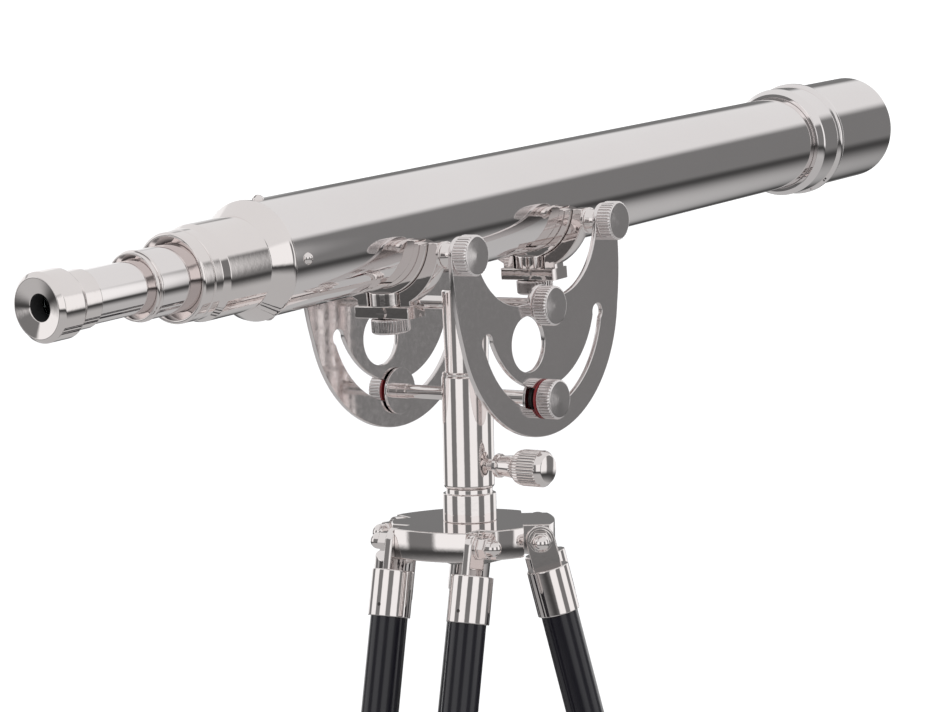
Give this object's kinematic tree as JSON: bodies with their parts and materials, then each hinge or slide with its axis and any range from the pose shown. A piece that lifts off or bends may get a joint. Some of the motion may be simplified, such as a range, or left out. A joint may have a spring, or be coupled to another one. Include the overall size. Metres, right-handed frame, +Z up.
{
  "type": "telescope_on_tripod",
  "caption": "Polished metal refracting telescope in a fork of slotted plates on a folding tripod with black lacquered legs",
  "frame": {"origin": "Middle of the whole outline, on the floor under the stand", "axes": "+Z up; +X the way the objective points, in plan; +Y to the left of that"},
  "size_m": [0.9864, 0.6514, 1.6512],
  "materials": {
    "chrome": "polished nickel and chrome plate",
    "steel": "plain turned steel",
    "black_lacquer": "gloss black lacquer over hardwood rod",
    "black_fibre": "black fibre",
    "red_fibre": "dark red fibre",
    "black_cell": "matt black anodised",
    "glass": "polished optical glass",
    "rubber": "black rubber"
  },
  "bodies": {
    "head": {"head_plate": "chrome", "spigot": "chrome", "spigot_nut": "steel", "hinge_hardware": "chrome"},
    "pan_head": {"column_sleeve": "chrome", "column_neck": "chrome", "pivot_rod": "chrome", "lock_rod": "chrome", "lock_discs": "chrome", "lock_bushes": "black_fibre", "lock_red_washers": "red_fibre"},
    "pan_screw": {"pan_lock_screw": "chrome"},
    "scope": {"mount_plate_right": "chrome", "mount_plate_left": "chrome", "horn_pins": "chrome", "horn_spacers": "chrome", "saddle_straps": "chrome", "saddle_yokes": "chrome", "saddle_bosses": "chrome", "bar_screws": "chrome", "main_tube": "chrome", "end_bushing": "chrome", "bushing_screws": "chrome", "objective_cell": "black_cell", "objective_lens": "glass"},
    "dew_cap": {"hood": "chrome"},
    "draw_outer": {"draw_tube_2": "chrome", "draw_collar": "chrome"},
    "draw_inner": {"draw_tube_1": "chrome", "eyecup": "chrome", "eyepiece_lenses": "glass", "erector_cell": "black_cell"},
    "saddle_knob_near": {"saddle_screw_near": "chrome"},
    "saddle_knob_far": {"saddle_screw_far": "chrome"},
    "pivot_nut_right": {"pivot_knob_right": "chrome"},
    "lock_nut_right": {"lock_knob_right": "chrome"},
    "horn_nut_near_right": {"horn_knob_near_right": "chrome"},
    "horn_nut_far_right": {"horn_knob_far_right": "chrome"},
    "pivot_nut_left": {"pivot_knob_left": "chrome"},
    "lock_nut_left": {"lock_knob_left": "chrome"},
    "horn_nut_near_left": {"horn_knob_near_left": "chrome"},
    "horn_nut_far_left": {"horn_knob_far_left": "chrome"},
    "leg_a": {"leg_rods_a": "black_lacquer", "leg_fittings_a": "chrome"},
    "lower_leg_a": {"lower_rod_a": "black_lacquer", "lower_fittings_a": "chrome", "foot_tip_a": "rubber"},
    "clamp_knob_a": {"leg_screw_a": "chrome"},
    "leg_b": {"leg_rods_b": "black_lacquer", "leg_fittings_b": "chrome"},
    "lower_leg_b": {"lower_rod_b": "black_lacquer", "lower_fittings_b": "chrome", "foot_tip_b": "rubber"},
    "clamp_knob_b": {"leg_screw_b": "chrome"},
    "leg_c": {"leg_rods_c": "black_lacquer", "leg_fittings_c": "chrome"},
    "lower_leg_c": {"lower_rod_c": "black_lacquer", "lower_fittings_c": "chrome", "foot_tip_c": "rubber"},
    "clamp_knob_c": {"leg_screw_c": "chrome"}
  },
  "joints": [
    {"name": "pan", "type": "hinge", "parent": "head", "child": "pan_head", "pos_m": [-0.07615, -0.02212, 1.363], "axis": [0, 0, 1], "continuous": true},
    {"name": "pan_lock_turn", "type": "hinge", "parent": "pan_head", "child": "pan_screw", "pos_m": [-0.07615, -0.05212, 1.3745], "axis": [0, -1, 0], "continuous": true},
    {"name": "tilt", "type": "hinge", "parent": "pan_head", "child": "scope", "pos_m": [-0.07615, -0.02212, 1.4895], "axis": [0, -1, 0], "range_deg": [-35, 50]},
    {"name": "dew_cap_slide", "type": "slide", "parent": "scope", "child": "dew_cap", "axis": [0.9954, 0, 0.0958], "range_m": [0, 0.06]},
    {"name": "outer_draw_slide", "type": "slide", "parent": "scope", "child": "draw_outer", "axis": [-0.9954, 0, -0.0958], "range_m": [-0.028, 0.06]},
    {"name": "inner_draw_slide", "type": "slide", "parent": "draw_outer", "child": "draw_inner", "axis": [-0.9954, 0, -0.0958], "range_m": [-0.038, 0.07]},
    {"name": "saddle_knob_near_turn", "type": "hinge", "parent": "scope", "child": "saddle_knob_near", "pos_m": [-0.16175, -0.02212, 1.48126], "axis": [-0.0958, 0, 0.9954], "continuous": true},
    {"name": "saddle_knob_far_turn", "type": "hinge", "parent": "scope", "child": "saddle_knob_far", "pos_m": [0.00946, -0.02212, 1.49774], "axis": [-0.0958, 0, 0.9954], "continuous": true},
    {"name": "pivot_knob_right_turn", "type": "hinge", "parent": "pan_head", "child": "pivot_nut_right", "pos_m": [-0.07615, -0.09512, 1.4895], "axis": [0, -1, 0], "continuous": true},
    {"name": "lock_knob_right_turn", "type": "hinge", "parent": "pan_head", "child": "lock_nut_right", "pos_m": [-0.07615, -0.09512, 1.4241], "axis": [0, -1, 0], "continuous": true},
    {"name": "horn_knob_near_right_turn", "type": "hinge", "parent": "scope", "child": "horn_nut_near_right", "pos_m": [-0.16635, -0.09512, 1.52904], "axis": [0, -1, 0], "continuous": true},
    {"name": "horn_knob_far_right_turn", "type": "hinge", "parent": "scope", "child": "horn_nut_far_right", "pos_m": [0.00486, -0.09512, 1.54552], "axis": [0, -1, 0], "continuous": true},
    {"name": "pivot_knob_left_turn", "type": "hinge", "parent": "pan_head", "child": "pivot_nut_left", "pos_m": [-0.07615, 0.05088, 1.4895], "axis": [0, 1, 0], "continuous": true},
    {"name": "lock_knob_left_turn", "type": "hinge", "parent": "pan_head", "child": "lock_nut_left", "pos_m": [-0.07615, 0.05088, 1.4241], "axis": [0, 1, 0], "continuous": true},
    {"name": "horn_knob_near_left_turn", "type": "hinge", "parent": "scope", "child": "horn_nut_near_left", "pos_m": [-0.16635, 0.05088, 1.52904], "axis": [0, 1, 0], "continuous": true},
    {"name": "horn_knob_far_left_turn", "type": "hinge", "parent": "scope", "child": "horn_nut_far_left", "pos_m": [0.00486, 0.05088, 1.54552], "axis": [0, 1, 0], "continuous": true},
    {"name": "leg_a_fold", "type": "hinge", "parent": "head", "child": "leg_a", "pos_m": [-0.04642, -0.06157, 1.323], "axis": [-0.7986, -0.6018, 0], "range_deg": [-13, 0]},
    {"name": "leg_a_extend", "type": "slide", "parent": "leg_a", "child": "lower_leg_a", "axis": [0.1384, -0.1837, -0.9732], "range_m": [-0.5, 0.045]},
    {"name": "leg_a_clamp_turn", "type": "hinge", "parent": "leg_a", "child": "clamp_knob_a", "pos_m": [0.07095, -0.21733, 0.60665], "axis": [0.5857, -0.7772, 0.23], "continuous": true},
    {"name": "leg_b_fold", "type": "hinge", "parent": "head", "child": "leg_b", "pos_m": [-0.05684, 0.02336, 1.323], "axis": [0.9205, -0.3907, 0], "range_deg": [-13, 0]},
    {"name": "leg_b_extend", "type": "slide", "parent": "leg_b", "child": "lower_leg_b", "axis": [0.0899, 0.2118, -0.9732], "range_m": [-0.5, 0.045]},
    {"name": "leg_b_clamp_turn", "type": "hinge", "parent": "leg_b", "child": "clamp_knob_b", "pos_m": [0.01936, 0.20288, 0.60665], "axis": [0.3803, 0.8958, 0.23], "continuous": true},
    {"name": "leg_c_fold", "type": "hinge", "parent": "head", "child": "leg_c", "pos_m": [-0.12518, -0.02814, 1.323], "axis": [-0.1219, 0.9925, 0], "range_deg": [-13, 0]},
    {"name": "leg_c_extend", "type": "slide", "parent": "leg_c", "child": "lower_leg_c", "axis": [-0.2283, -0.028, -0.9732], "range_m": [-0.5, 0.045]},
    {"name": "leg_c_clamp_turn", "type": "hinge", "parent": "leg_c", "child": "clamp_knob_c", "pos_m": [-0.31875, -0.05191, 0.60665], "axis": [-0.9659, -0.1186, 0.23], "continuous": true}
  ]
}
